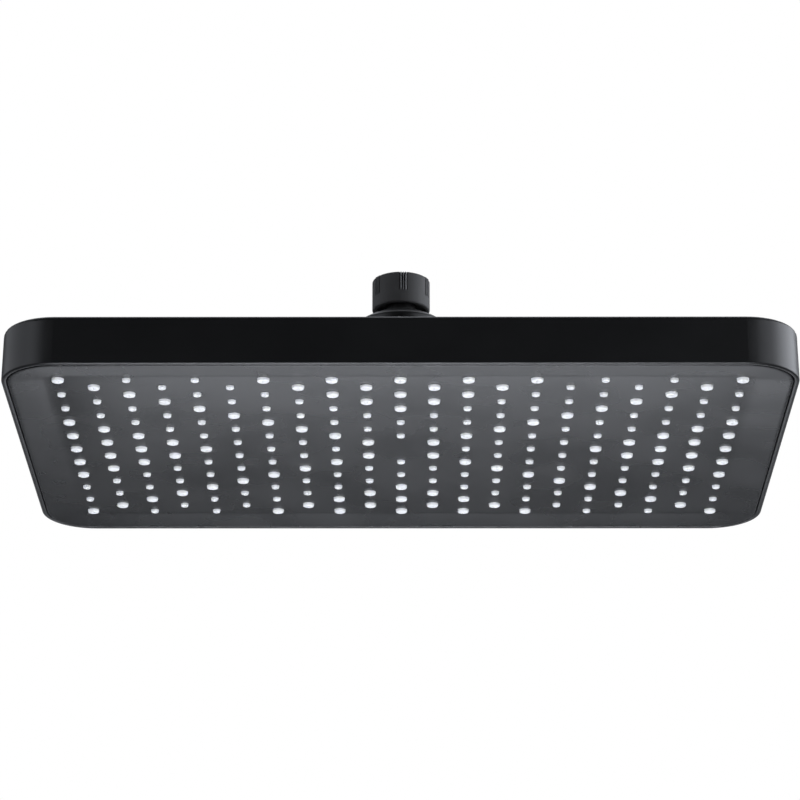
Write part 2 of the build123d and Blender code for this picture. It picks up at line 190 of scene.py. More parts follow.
class SHOWER_PG_fitting(bpy.types.PropertyGroup):
    """Sizes of the inlet nut, its stem and its ball."""

    nut_height: length_size("Nut height", "Height of the inlet nut", 13.1)
    edge_radius: length_size("Edge radius", "Rounding of the nut's rims", 0.8)
    skirt_wall: length_size("Skirt wall", "Wall of the hollow under the nut", 1.4)
    skirt_depth: length_size("Skirt depth", "From the nut's floor to the hollow's roof", 2.0)
    thread_radius: length_size("Thread radius", "Inner radius of the inlet thread", 9.3)
    thread_length: length_size("Thread length", "Length of the inlet thread", 6.2)
    thread_depth: length_size("Thread depth", "Depth of the thread's grooves", 0.6)
    thread_pitch: length_size("Thread pitch", "Height of one turn of the thread", 1.814)
    washer_room: length_size("Washer room", "Height of the undercut for the washer", 2.2)
    restrictor_radius: length_size("Restrictor pocket", "Radius of the restrictor's pocket", 4.9)
    restrictor_depth: length_size("Restrictor depth", "Depth of the restrictor's pocket", 3.0)
    stem_radius: length_size("Stem radius", "Radius of the stem", 6.0)
    bore_radius: length_size("Bore radius", "Radius of the waterway", 4.0)
    ball_radius: length_size("Ball radius", "Radius of the ball", 10.0)
    groove_radius: length_size("Groove radius", "Radius of the ring groove's section", 1.05)
    groove_centre: length_size("Groove centre", "From the ball's centre to the groove's", 9.03)
    grip_count: count_value("Grips", "Grip notches round the nut", 6)
    grip_width: length_size("Grip width", "Width of a grip notch", 3.2)
    grip_depth: length_size("Grip depth", "Depth of a grip notch", 0.7)
    grip_length: length_size("Grip length", "Length of a grip notch", 8.0)
    rib_spacing: length_size("Rib spacing", "Spacing of the three ribs in a notch", 0.95)
    rib_foot: length_size("Rib foot", "Width of a rib at its foot", 0.62)
    rib_shoulder: length_size("Rib shoulder", "Width of a rib below its crest", 0.4)
    rib_height: length_size("Rib height", "Height of a rib above the notch's floor", 0.9)
    rib_crown: length_size("Rib crown", "Height of a rib's crest above its shoulders", 0.2)


class SHOWER_PG_colours(bpy.types.PropertyGroup):
    """Colours of the finishes."""

    housing: colour_value("Housing", "Satin black of the housing", 0.0042, 0.0044, 0.0048)
    fitting: colour_value("Fitting", "Dull black of the inlet fitting", 0.072, 0.072, 0.072)
    # Lighter crests of the grip ribs: partly wear, partly a painted highlight standing in for their
    # glints
    grips: colour_value("Grips", "Rubbed crests of the nut's grip ribs", 0.22, 0.221, 0.224)
    panel: colour_value("Panel", "Satin black of the front panel", 0.008, 0.0086, 0.0095)
    silicone: colour_value("Silicone", "White silicone of the nozzles", 0.86, 0.86, 0.85)
    seats: colour_value("Seats", "White plastic of the ball's seats", 0.8, 0.8, 0.78)
    washer: colour_value("Washer", "Black nylon of the slip washer", 0.01, 0.01, 0.011)
    chamber: colour_value("Chamber", "Grey plastic of the chamber's cover", 0.3, 0.3, 0.31)
    restrictor: colour_value("Restrictor", "Green plastic of the restrictor", 0.12, 0.42, 0.2)
    rubber: colour_value("Rubber", "Black rubber of the seals", 0.02, 0.02, 0.02)
    steel: colour_value("Steel", "Steel of the screws and the filter", 0.62, 0.62, 0.63)
    floor: colour_value("Floor", "Pale studio floor", 0.82, 0.82, 0.82)


def arc(centre, radius, start, stop, steps):
    """Points at centre + radius times (cos a, sin a), a in equal steps from start to stop degrees."""
    angles = np.radians(np.linspace(start, stop, steps + 1))
    x = centre[0] + radius * np.cos(angles)
    y = centre[1] + radius * np.sin(angles)
    return np.column_stack([x, y])


def quads(rows, columns, close_rows, close_columns):
    """Vertex numbers of the quads of a grid of rows by columns, closed on itself where asked."""
    row = np.arange(rows if close_rows else rows - 1)[:, None]
    column = np.arange(columns if close_columns else columns - 1)[None, :]
    next_row = (row + 1) % rows
    next_column = (column + 1) % columns
    corners = [row * columns + column, row * columns + next_column]
    corners += [next_row * columns + next_column, next_row * columns + column]
    return np.stack(corners, axis=-1).reshape(-1, 4)


def grid(points, close_rows=False):
    """Vertices and quads of a grid of points, rows by columns by 3, with its columns closed."""
    rows, columns = points.shape[:2]
    return points.reshape(-1, 3), quads(rows, columns, close_rows, True)


def rings(*pairs):
    """Profile rows from pairs of a radius for each centre and one height."""
    rows = [np.column_stack([radius, np.full(len(radius), height)]) for radius, height in pairs]
    return np.stack(rows)


def revolved(profile, centres, sides):
    """A profile turned about an upright axis at each centre.

    A point is (x + r cos a, y + r sin a, z), with (r, z) from the profile, (x, y) from the centres
    and a in equal steps round the circle. The profile has a row for each ring and, where the
    shapes differ, a column for each centre.
    """
    profile = np.asarray(profile, dtype=float)
    if profile.ndim == 2:
        profile = np.repeat(profile[:, None, :], len(centres), axis=1)
    angles = np.arange(sides) * 2 * np.pi / sides
    radius = profile[:, :, 0].T[:, :, None]
    height = profile[:, :, 1].T[:, :, None]
    x = centres[:, 0, None, None] + radius * np.cos(angles)
    y = centres[:, 1, None, None] + radius * np.sin(angles)
    points = np.stack([x, y, np.broadcast_to(height, x.shape)], axis=-1)
    faces = quads(len(profile), sides, False, True)
    starts = np.arange(len(centres)) * len(profile) * sides
    return points.reshape(-1, 3), (faces[None] + starts[:, None, None]).reshape(-1, 4)


def circles(centres, radius, sides):
    """Points at each centre + its radius times (cos a, sin a), an array of centres by sides by 2."""
    angles = np.arange(sides) * 2 * np.pi / sides
    around = np.column_stack([np.cos(angles), np.sin(angles)])
    return centres[:, None, :] + np.broadcast_to(radius, len(centres))[:, None, None] * around


class RoundedPath:
    """The path round a rectangle with round corners, at any inset from its outline.

    A point at inset d is its corner's centre + (corner radius - d) times (cos a, sin a).
    """

    def __init__(self, half_length, half_width, corner_radius, steps):
        quarter = np.linspace(0, 90, steps + 1)
        angles = np.radians(quarter[None, :] + 90 * np.arange(4)[:, None])
        self.directions = np.stack([np.cos(angles), np.sin(angles)], axis=-1).reshape(-1, 2)
        signs = np.repeat([(1, 1), (-1, 1), (-1, -1), (1, -1)], steps + 1, axis=0)
        self.centres = signs * (half_length - corner_radius, half_width - corner_radius)
        self.corner_radius = corner_radius

    def ring(self, inset):
        """The points of the path at an inset."""
        return self.centres + (self.corner_radius - inset) * self.directions

    def carried(self, profile):
        """A profile of insets and heights carried along the path, as a grid."""
        rows = []
        for inset, height in profile:
            rows.append(np.column_stack([self.ring(inset), np.full(len(self.centres), height)]))
        return grid(np.stack(rows))


def perforated(outline, groups, height):
    """A flat sheet at a height: the Delaunay triangles between an outline and groups of hole loops.

    A triangle whose three corners are on one hole's loop lies in that hole, and is left out.
    """
    bounds = [outline] + [loop for group in groups for loop in group]
    sizes = [len(bound) for bound in bounds]
    starts = np.cumsum([0] + sizes[:-1])
    edges = [start + quads(2, size, False, True)[:, :2] for start, size in zip(starts, sizes)]
    edges = np.concatenate(edges).tolist()
    corners = [Vector(point) for point in np.concatenate(bounds)]
    # This kind of output keeps the triangles inside the outline, also those in the holes
    inside_outline = 1
    flat = delaunay_2d_cdt(corners, edges, [], inside_outline, FLAT_MERGE_DISTANCE)
    sheet = np.array([tuple(corner) for corner in flat[0]])
    triangles = np.array(flat[2])
    owner = np.repeat(np.arange(len(bounds)), sizes)[[sources[0] for sources in flat[3]]]
    first, second, third = owner[triangles].T
    in_hole = (first > 0) & (first == second) & (first == third)
    return np.column_stack([sheet, np.full(len(sheet), height)]), triangles[~in_hole]


def add_piece(name, curved, flat, body, finish, replaced, wear_and_highlight=None):
    """Joins curved and flat surfaces into a closed piece on a body, in place of a CAD node.

    Where the mask of wear and painted highlight of each point is given, the mesh keeps it as an
    attribute for the finish.
    """
    corners, faces, smooth = [], [], []
    start = 0
    for number, (points, polygons) in enumerate([*curved, *flat]):
        corners.append(points)
        faces += (polygons + start).tolist()
        smooth += [number < len(curved)] * len(polygons)
        start += len(points)
    mesh = bpy.data.meshes.new(name)
    mesh.from_pydata(np.concatenate(corners).tolist(), [], faces)
    mesh.polygons.foreach_set("use_smooth", smooth)
    if wear_and_highlight is not None:
        mesh.attributes.new(WEAR_AND_HIGHLIGHT, "FLOAT", "POINT").data.foreach_set("value", wear_and_highlight)
    shape = bmesh.new()
    shape.from_mesh(mesh)
    bmesh.ops.remove_doubles(shape, verts=shape.verts, dist=MERGE_DISTANCE)
    bmesh.ops.dissolve_degenerate(shape, edges=shape.edges, dist=MERGE_DISTANCE)
    bmesh.ops.recalc_face_normals(shape, faces=shape.faces)
    shape.to_mesh(mesh)
    shape.free()
    mesh.set_sharp_from_angle(angle=math.radians(SHARP_ANGLE))
    mesh.materials.append(finish)
    piece = bpy.data.objects.new(name, mesh)
    bpy.context.scene.collection.objects.link(piece)
    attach(piece, body)
    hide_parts(replaced)


def panel_path(panel):
    """The outline of the front panel as a path."""
    half_length, half_width = CAD_PANEL[1][0], CAD_PANEL[1][1]
    return RoundedPath(half_length, half_width, panel.corner_radius, CORNER_STEPS)


def panel_front(panel):
    """Height of the flat of the nozzle field."""
    return CAD_PANEL[0][2] + panel.dish


def nozzle_field(panel):
    """Centres and tip radii of the nozzles.

    Columns and rows are half steps of a diamond lattice, and every other crossing but the middle
    one has a nozzle. The diagonals and the four side groups hold large nozzles, and the two bands
    beside each diagonal hold small ones.
    """
    steps = panel.nozzle_steps
    pitch_x = (CAD_PANEL[1][0] - panel.margin_x) / steps
    pitch_y = (CAD_PANEL[1][1] - panel.margin_y) / steps
    places = np.arange(-steps, steps + 1)
    column, row = np.meshgrid(places, places, indexing="ij")
    used = ((column + row) % 2 == 0) & ((column != 0) | (row != 0))
    band = np.abs(np.abs(column) - np.abs(row))[used] // 2
    centres = np.column_stack([column[used] * pitch_x, row[used] * pitch_y])
    is_large = (band == 0) | (band > SMALL_BANDS)
    return centres, np.where(is_large, panel.large_radius, panel.small_radius)


def screw_places(screws):
    """Centres of the screws: a row along each long side and one at the middle of each short side."""
    first_x = CAD_PANEL[1][0] - screws.end_margin
    side_y = CAD_PANEL[1][1] - screws.inset
    end_x = CAD_PANEL[1][0] - screws.inset
    row = np.linspace(-first_x, first_x, screws.per_side)
    sides = [np.column_stack([row, np.full(len(row), y)]) for y in (-side_y, side_y)]
    return np.concatenate(sides + [np.array([(-end_x, 0.0), (end_x, 0.0)])])


def centre_place():
    """Centre of the screw in the middle, as an array of one place."""
    return np.zeros((1, 2))


def posts(screws, front, back, height, places):
    """Screw posts: the section of a post and its blind pilot hole turned at each place."""
    floor = front + screws.pilot_floor
    top = back + height
    section = [
        (screws.post_radius, back),
        (screws.post_radius, top),
        (screws.pilot_radius, top),
        (screws.pilot_radius, floor),
        (0, floor),
    ]
    return revolved(section, places, POST_SIDES)


def panel_surfaces(panel, screws):
    """Curved and flat surfaces of the front panel.

    The curved ones are its border, edge and lip carried along its outline, the nozzle holes and the
    screw posts. The flat ones are the front and the back of the nozzle field.
    """
    path = panel_path(panel)
    centres, tip_radius = nozzle_field(panel)
    bottom = CAD_PANEL[0][2]
    front = panel_front(panel)
    back = front + panel.thickness
    lip_top = CAD_PANEL[1][2] - screws.centre_height + LIP_HEIGHT
    border_ends = (panel.dish_border, front), (panel.edge_radius, bottom)
    border = np.linspace(*border_ends, BORDER_STEPS + 1)[:-1]
    edge_centre = (panel.edge_radius, bottom + panel.edge_radius)
    edge = arc(edge_centre, panel.edge_radius, 270, 180, EDGE_STEPS)
    lip = [(0, lip_top), (panel.lip_width, lip_top), (panel.lip_width, back)]
    rim = path.carried([*border, *edge, *lip])

    hole = tip_radius + panel.taper + panel.hole_clearance
    bevelled = hole + panel.hole_bevel
    hole_section = rings((bevelled, front), (hole, front + panel.hole_bevel), (hole, back))
    holes = revolved(hole_section, centres, NOZZLE_SIDES)
    front_loops = [circles(centres, bevelled, NOZZLE_SIDES)]
    front_side = perforated(path.ring(panel.dish_border), front_loops, front)

    places = screw_places(screws)
    side_posts = posts(screws, front, back, screws.post_height, places)
    centre_post = posts(screws, front, back, screws.centre_height, centre_place())
    post_places = np.concatenate([places, centre_place()])
    post_loops = circles(post_places, screws.post_radius, POST_SIDES)
    back_loops = [circles(centres, hole, NOZZLE_SIDES), post_loops]
    back_side = perforated(path.ring(panel.lip_width), back_loops, back)
    return [rim, holes, side_posts, centre_post], [front_side, back_side]


def mat_surfaces(panel, screws):
    """Curved and flat surfaces of the nozzle mat.

    The curved ones are the nozzles, each turned about its own axis, the walls of the post holes and
    the mat's edge. The flat ones are the lower and the upper side of its sheet.
    """
    mat_inset = CAD_PANEL[1][0] - CAD_MAT[1][0]
    path = panel_path(panel)
    centres, tip_radius = nozzle_field(panel)
    tip, top = CAD_MAT[0][2], CAD_MAT[1][2]
    root = panel_front(panel) + panel.thickness
    root_radius = tip_radius + panel.taper
    orifice = np.full(len(centres), panel.orifice_radius)
    round_centre = (-panel.tip_rounding, panel.tip_rounding)
    rounding = arc(round_centre, panel.tip_rounding, 0, -90, ROUNDING_STEPS)
    section = [(root_radius, root)]
    section += [(tip_radius + across, tip + up) for across, up in rounding]
    section += [(orifice + panel.dimple, tip), (orifice, tip + panel.dimple), (orifice, top)]
    nozzles = revolved(rings(*section), centres, NOZZLE_SIDES)

    places = np.concatenate([screw_places(screws), centre_place()])
    post_hole = screws.post_radius + screws.post_gap
    walls = revolved([(post_hole, root), (post_hole, top)], places, POST_SIDES)
    edge = path.carried([(mat_inset, root), (mat_inset, top)])
    outline = path.ring(mat_inset)
    post_loops = circles(places, post_hole, POST_SIDES)
    lower = perforated(outline, [circles(centres, root_radius, NOZZLE_SIDES), post_loops], root)
    upper = perforated(outline, [circles(centres, orifice, NOZZLE_SIDES), post_loops], top)
    return [nozzles, walls, edge], [lower, upper]


def rib_places(fitting):
    """Offsets of the three ribs from the middle of their notch, as a column."""
    return fitting.rib_spacing * np.arange(-1, 2)[:, None]


def grip_angles(fitting, nut_radius):
    """Angles of the grid round the nut, with extra ones at the walls and ribs of each notch.

    An offset from the middle of a notch is at the angle whose sine is offset / nut radius.
    """
    half = fitting.grip_width / 2
    foot, shoulder = fitting.rib_foot, fitting.rib_shoulder
    rib = np.array([-foot, -shoulder, 0, shoulder, foot]) / 2
    ribs = (rib_places(fitting) + rib).ravel()
    offsets = np.concatenate([[-half - EDGE_WIDTH, -half], ribs, [half, half + EDGE_WIDTH]])
    notch = np.arcsin(offsets / nut_radius)
    turn = 2 * np.pi / fitting.grip_count
    between = np.linspace(notch[-1], turn + notch[0], PLAIN_STEPS + 2)[1:-1]
    starts = turn * np.arange(fitting.grip_count)[:, None] + math.radians(GRIP_TURN - 90)
    return (starts + np.concatenate([notch, between])).ravel()


def notch_radius(fitting, nut_radius, angles):
    """Radius that the notches leave at each angle, with their flat floors and three ribs.

    Inside a notch it is (nut radius - depth + rise) / cos(angle from the notch's middle), and the
    rise runs in straight lines from a rib's foot over its shoulder to its crest.
    """
    turn = 2 * np.pi / fitting.grip_count
    local = (angles - math.radians(GRIP_TURN - 90) + turn / 2) % turn - turn / 2
    offset = nut_radius * np.sin(local)
    across = np.array([0, fitting.rib_shoulder, fitting.rib_foot]) / 2
    heights = (fitting.rib_height, fitting.rib_height - fitting.rib_crown, 0)
    rise = np.interp(np.abs(offset - rib_places(fitting)), across, heights).max(axis=0)
    floor = (nut_radius - fitting.grip_depth + rise) / np.cos(local)
    inside = np.abs(offset) <= fitting.grip_width / 2 + EDGE_WIDTH / 2
    return np.where(inside, floor, nut_radius)


def ball_profile(fitting):
    """Section of the ball from its lower mouth to the stem, with the round groove of its ring.

    The law of cosines gives the angle, seen from the ball's centre, from the groove's middle to
    the corner where its circle meets the ball's.
    """
    ball = fitting.ball_radius
    groove, reach = fitting.groove_radius, fitting.groove_centre
    centre = (0, BALL_HEIGHT)
    mouth = -math.degrees(math.acos(fitting.bore_radius / ball))
    neck = math.degrees(math.acos(fitting.stem_radius / ball))
    corner = math.acos((ball**2 + reach**2 - groove**2) / (2 * ball * reach))
    corner_reach = ball * math.cos(corner) - reach
    groove_angle = math.degrees(math.atan2(ball * math.sin(corner), corner_reach))
    half_mouth = math.degrees(corner)
    latitude = math.radians(GROOVE_LATITUDE)
    groove_place = (reach * math.cos(latitude), BALL_HEIGHT + reach * math.sin(latitude))
    first, last = GROOVE_LATITUDE - groove_angle, GROOVE_LATITUDE + groove_angle
    lower_ball = arc(centre, ball, mouth, GROOVE_LATITUDE - half_mouth, LOWER_BALL_STEPS)
    groove_wall = arc(groove_place, groove, first, last - 360, GROOVE_STEPS)
    upper_ball = arc(centre, ball, GROOVE_LATITUDE + half_mouth, neck, UPPER_BALL_STEPS)
    return np.concatenate([lower_ball[:-1], groove_wall, upper_ball[1:]])


def nut_floor(fitting):
    """Height of the nut's floor, on which the washer lies."""
    return -fitting.thread_length - fitting.washer_room


def outer_section(fitting, nut_radius, top):
    """Section of the fitting's outside: the ball, the stem, the hollow under the nut and the nut."""
    bottom = top - fitting.nut_height
    roof = nut_floor(fitting) - fitting.skirt_depth
    grip_end = top - fitting.grip_length
    rim = fitting.edge_radius
    hollow_radius = nut_radius - fitting.skirt_wall
    hollow = [(fitting.stem_radius, roof), (hollow_radius, roof), (hollow_radius, bottom)]
    lower_rim = arc((nut_radius - rim, bottom + rim), rim, 270, 360, NUT_RIM_STEPS)
    wall = [(nut_radius, grip_end - EDGE_WIDTH), (nut_radius, grip_end)]
    upper_rim = arc((nut_radius - rim, top - rim), rim, 0, 90, NUT_RIM_STEPS)
    return np.concatenate([ball_profile(fitting), hollow, lower_rim, wall, upper_rim])


def inner_section(fitting):
    """Section of the fitting's inside, from the end of the thread to the waterway."""
    undercut = fitting.thread_radius + fitting.thread_depth
    floor = nut_floor(fitting)
    pocket_floor = floor - fitting.restrictor_depth
    return [
        (undercut, -fitting.thread_length - EDGE_WIDTH),
        (undercut, floor),
        (fitting.restrictor_radius, floor),
        (fitting.restrictor_radius, pocket_floor),
        (fitting.bore_radius, pocket_floor),
    ]


def thread_groove(fitting, height, angles):
    """Depth of the thread's groove at each height and angle.

    It is the thread's depth where a triangle wave of z / pitch - a / 360 degrees is high, which
    gives right-handed grooves, and it grows from nothing over the first turn.
    """
    phase = (height / fitting.thread_pitch - angles[None, :] / (2 * np.pi)) % 1
    wave = np.clip(THREAD_SLOPE * (1 - np.abs(2 * phase - 1)) - THREAD_CREST, 0, 1)
    run_in = np.clip(-height / fitting.thread_pitch, 0, 1)
    return fitting.thread_depth * wave * run_in


def fitting_surface(fitting):
    """The inlet fitting as one grid, its section's rows by the angles round its axis, and its mask of
    wear and painted highlight.

    A point is (r cos a, r sin a, z). The radius r is the section's own, but the notches change it on
    the nut's upper part, and the thread's grooves add to it in the bore. The mask is 1 on the crests
    of the grip ribs, which stand proud of the nut, and 0 elsewhere; the finish paints the crests
    lighter, partly as wear and partly as a painted highlight.
    """
    nut_radius, top = CAD_FITTING[1][0], CAD_FITTING[1][2]
    angles = grip_angles(fitting, nut_radius)
    outside = outer_section(fitting, nut_radius, top)
    # The mouth widens by its own height above the thread, as a chamfer of 45 degrees
    mouth = [(fitting.thread_radius + top, top)]
    thread_heights = np.linspace(0, -fitting.thread_length, THREAD_ROWS)
    thread = np.column_stack([np.full(THREAD_ROWS, fitting.thread_radius), thread_heights])
    section = np.concatenate([outside, mouth, thread, inner_section(fitting)])
    radius = np.repeat(section[:, :1], len(angles), axis=1)
    height = np.repeat(section[:, 1:], len(angles), axis=1)

    # The notches reach from the last row of the nut's wall over its upper rim
    notched = slice(len(outside) - NUT_RIM_STEPS - 2, len(outside))
    grips = notch_radius(fitting, nut_radius, angles)
    radius[notched] += grips[None, :] - nut_radius
    # The rib crests are marked for a lighter colour: partly wear, partly a painted highlight
    wear_and_highlight = np.zeros(radius.shape)
    wear_and_highlight[notched] = (grips > nut_radius)[None, :]

    thread_start = len(outside) + len(mouth)
    threaded = slice(thread_start, thread_start + THREAD_ROWS)
    radius[threaded] += thread_groove(fitting, height[threaded], angles)
    points = np.stack([radius * np.cos(angles), radius * np.sin(angles), height], axis=-1)
    return grid(points, close_rows=True), wear_and_highlight.ravel()


class Shader:
    """A material's node tree, with short calls that vary its surface by noise.

    A noise lies on object coordinates, and its cells are about one over its scale in metres.
    """

    def __init__(self, name):
        self.material = bpy.data.materials.new(name)
        self.material.use_nodes = True
        self.nodes = self.material.node_tree.nodes
        self.links = self.material.node_tree.links
        self.surface = self.nodes["Principled BSDF"]
        self.place = self.nodes.new("ShaderNodeTexCoord").outputs["Object"]

    def noise(self, scale, detail, stretch=EVEN):
        """Value of a noise."""
        mapping = self.nodes.new("ShaderNodeMapping")
        mapping.inputs["Scale"].default_value = stretch
        texture = self.nodes.new("ShaderNodeTexNoise")
        texture.inputs["Scale"].default_value = scale
        texture.inputs["Detail"].default_value = detail
        self.links.new(self.place, mapping.inputs["Vector"])
        self.links.new(mapping.outputs["Vector"], texture.inputs["Vector"])
        return texture.outputs["Fac"]

    def spread(self, value, low, high):
        """Maps the middle of a noise's range to low and high."""
        node = self.nodes.new("ShaderNodeMapRange")
        node.inputs["From Min"].default_value = NOISE_LOW
        node.inputs["From Max"].default_value = NOISE_HIGH
        node.inputs["To Min"].default_value = low
        node.inputs["To Max"].default_value = high
        self.links.new(value, node.inputs["Value"])
        return node.outputs["Result"]

    def mottle(self, colour, amount, scale, detail):
        """Base colour that varies by a share about a colour."""
        value = self.noise(scale, detail)
        node = self.nodes.new("ShaderNodeMix")
        node.data_type = "RGBA"
        node.inputs["A"].default_value = (*[channel * (1 - amount) for channel in colour], 1)
        node.inputs["B"].default_value = (*[min(1, channel * (1 + amount)) for channel in colour], 1)
        self.links.new(self.spread(value, 0, 1), node.inputs["Factor"])
        self.links.new(node.outputs["Result"], self.surface.inputs["Base Color"])

    def rough(self, roughness, amount, scale, detail, stretch=EVEN):
        """Roughness that varies by an amount."""
        value = self.noise(scale, detail, stretch)
        varied = self.spread(value, roughness - amount, roughness + amount)
        self.links.new(varied, self.surface.inputs["Roughness"])

    def grain(self, height, strength, scale, detail, stretch=EVEN):
        """Fine relief of a height in metres."""
        value = self.noise(scale, detail, stretch)
        node = self.nodes.new("ShaderNodeBump")
        node.inputs["Strength"].default_value = strength
        node.inputs["Distance"].default_value = height
        self.links.new(value, node.inputs["Height"])
        self.links.new(node.outputs["Normal"], self.surface.inputs["Normal"])

    def worn_and_highlit(self, colour, roughness):
        """Blends in the rubbed colour, partly wear and partly a painted highlight, and gloss where
        the mask is high.
        """
        wear_and_highlight = self.nodes.new("ShaderNodeAttribute")
        wear_and_highlight.attribute_name = WEAR_AND_HIGHLIGHT
        rubbed_and_highlit = {"Base Color": ("RGBA", (*colour, 1)), "Roughness": ("FLOAT", roughness)}
        for name, (kind, value) in rubbed_and_highlit.items():
            socket = self.surface.inputs[name]
            node = self.nodes.new("ShaderNodeMix")
            node.data_type = kind
            node.inputs["B"].default_value = value
            self.links.new(wear_and_highlight.outputs["Fac"], node.inputs["Factor"])
            self.links.new(socket.links[0].from_socket, node.inputs["A"])
            self.links.new(node.outputs["Result"], socket)


def moulded_plastic(name, colour, roughness, grain, rubbed_and_highlit=None):
    """Satin moulded plastic: a fine grain, faint mottle and patches of slightly different gloss.

    The grain is given by its height. A rubbed colour lightens the piece's worn places, partly as
    wear and partly as a painted highlight, and they are glossier as well.
    """
    shader = Shader(name)
    shader.mottle(colour, amount=0.08, scale=60, detail=3)
    shader.rough(roughness, amount=0.03, scale=35, detail=2)
    shader.grain(grain, strength=0.35, scale=2600, detail=4)
    if rubbed_and_highlit is not None:
        shader.worn_and_highlit(rubbed_and_highlit, RUBBED_ROUGHNESS)
    return shader.material


def soft_silicone(name, colour):
    """White silicone: slightly translucent and dull, with a fine skin."""
    shader = Shader(name)
    shader.mottle(colour, amount=0.03, scale=240, detail=3)
    shader.rough(roughness=0.5, amount=0.05, scale=300, detail=2)
    shader.grain(height=0.02 * MM, strength=0.3, scale=3200, detail=3)
    shader.surface.inputs["Subsurface Weight"].default_value = 1.0
    shader.surface.inputs["Subsurface Radius"].default_value = (1.0, 1.0, 0.95)
    shader.surface.inputs["Subsurface Scale"].default_value = 2.0 * MM
    return shader.material


def dull_rubber(name, colour):
    """Black rubber of the seals, with a dusty bloom."""
    shader = Shader(name)
    shader.mottle(colour, amount=0.3, scale=400, detail=4)
    shader.rough(roughness=0.72, amount=0.06, scale=180, detail=3)
    shader.grain(height=0.03 * MM, strength=0.4, scale=2200, detail=4)
    return shader.material


def turned_steel(name, colour):
    """Stainless steel with fine lathe marks across its axis."""
    shader = Shader(name)
    shader.surface.inputs["Metallic"].default_value = 1.0
    shader.mottle(colour, amount=0.05, scale=300, detail=3)
    shader.rough(roughness=0.28, amount=0.06, scale=900, detail=3, stretch=(0.2, 0.2, 6))
    shader.grain(height=0.01 * MM, strength=0.25, scale=1500, detail=2, stretch=(0.2, 0.2, 8))
    return shader.material


def dress(material, *nodes):
    """Gives CAD nodes a material."""
    for node in nodes:
        slots = frame["nodes"][node].data.materials
        slots.clear()
        slots.append(material)


class SHOWER_OT_housing(bpy.types.Operator):
    """Gives the housing and the collar their satin black plastic"""

    bl_idname = "shower.housing"
    bl_label = "Housing and collar"

    def execute(self, context):
        colour = context.scene.shower_colours.housing
        finish = moulded_plastic("housing_plastic", colour, roughness=0.39, grain=0.03 * MM)
        dress(finish, "back_shell", "collar")
        return {"FINISHED"}


class SHOWER_OT_fitting(bpy.types.Operator):
    """Builds the inlet fitting with its thread, grip ribs and ball"""

    bl_idname = "shower.fitting"
    bl_label = "Inlet fitting"

    def execute(self, context):
        colours = context.scene.shower_colours
        finish = moulded_plastic(
            "fitting_plastic", colours.fitting, roughness=0.7, grain=0.03 * MM, rubbed_and_highlit=colours.grips
        )
        surface, wear_and_highlight = fitting_surface(context.scene.shower_fitting)
        add_piece(
            "inlet_fitting",
            curved=[surface],
            flat=[],
            body="connector",
            finish=finish,
            replaced="ball_connector",
            wear_and_highlight=wear_and_highlight,
        )
        return {"FINISHED"}


class SHOWER_OT_panel(bpy.types.Operator):
    """Builds the front panel with its nozzle holes and screw posts"""

    bl_idname = "shower.panel"
    bl_label = "Front panel"

    def execute(self, context):
        scene = context.scene
        colour = scene.shower_colours.panel
        curved, flat = panel_surfaces(scene.shower_panel, scene.shower_screws)
        add_piece(
            "front_panel",
            curved,
            flat,
            body="head",
            finish=moulded_plastic("panel_plastic", colour, roughness=0.28, grain=0.02 * MM),
            replaced="face_plate",
        )
        return {"FINISHED"}


class SHOWER_OT_nozzles(bpy.types.Operator):
    """Builds the silicone mat with its nozzles"""

    bl_idname = "shower.nozzles"
    bl_label = "Nozzles"

    def execute(self, context):
        scene = context.scene
        curved, flat = mat_surfaces(scene.shower_panel, scene.shower_screws)
        add_piece(
            "soft_nozzles",
            curved,
            flat,
            body="head",
            finish=soft_silicone("nozzle_silicone", scene.shower_colours.silicone),
            replaced="nozzle_mat",
        )
        return {"FINISHED"}


class SHOWER_OT_inner_parts(bpy.types.Operator):
    """Gives the seats, seals, screws and chamber their finishes"""

    bl_idname = "shower.inner_parts"
    bl_label = "Inner parts"

    def execute(self, context):
        colours = context.scene.shower_colours
        seats = moulded_plastic("seat_plastic", colours.seats, roughness=0.4, grain=0.01 * MM)
        washer = moulded_plastic("washer_plastic", colours.washer, roughness=0.5, grain=0.01 * MM)
        chamber = moulded_plastic(
            "chamber_plastic", colours.chamber, roughness=0.42, grain=0.02 * MM
        )
        restrictor = moulded_plastic(
            "restrictor_plastic", colours.restrictor, roughness=0.35, grain=0.01 * MM
        )
        rubber = dull_rubber("seal_rubber", colours.rubber)
        steel = turned_steel("screw_steel", colours.steel)
        dress(seats, "lower_seat", "upper_seat")
        dress(washer, "slip_washer")
        dress(chamber, "chamber_cover")
        dress(restrictor, "flow_restrictor")
        dress(rubber, "inlet_washer", "ball_o_ring", "seat_gasket")
        dress(steel, "cassette_screws", "centre_screw", "filter_screen")
        return {"FINISHED"}


def studio_camera():
    """The camera in front of the head and below it, looking up."""
    data = bpy.data.cameras.new("studio_camera")
    data.lens = CAMERA_LENS
    data.sensor_width = SENSOR_WIDTH
    camera = bpy.data.objects.new("studio_camera", data)
    camera.location = CAMERA_PLACE
    turns = (90 + CAMERA_PITCH, CAMERA_ROLL, CAMERA_YAW)
    camera.rotation_euler = [math.radians(turn) for turn in turns]
    bpy.context.scene.collection.objects.link(camera)
    bpy.context.scene.camera = camera


def softbox(name, place, width, height, radiance, target=STUDIO_MIDDLE):
    """A soft area lamp at a place that faces a target.

    Its power is its radiance times pi times its area.
    """
    data = bpy.data.lights.new(name, "AREA")
    data.shape = "RECTANGLE"
    data.size = width
    data.size_y = height
    data.energy = radiance * math.pi * width * height
    data.color = LAMP_COLOUR
    lamp = bpy.data.objects.new(name, data)
    lamp.location = place
    lamp.rotation_euler = (Vector(target) - Vector(place)).to_track_quat("-Z", "Y").to_euler()
    lamp.visible_camera = False
    bpy.context.scene.collection.objects.link(lamp)


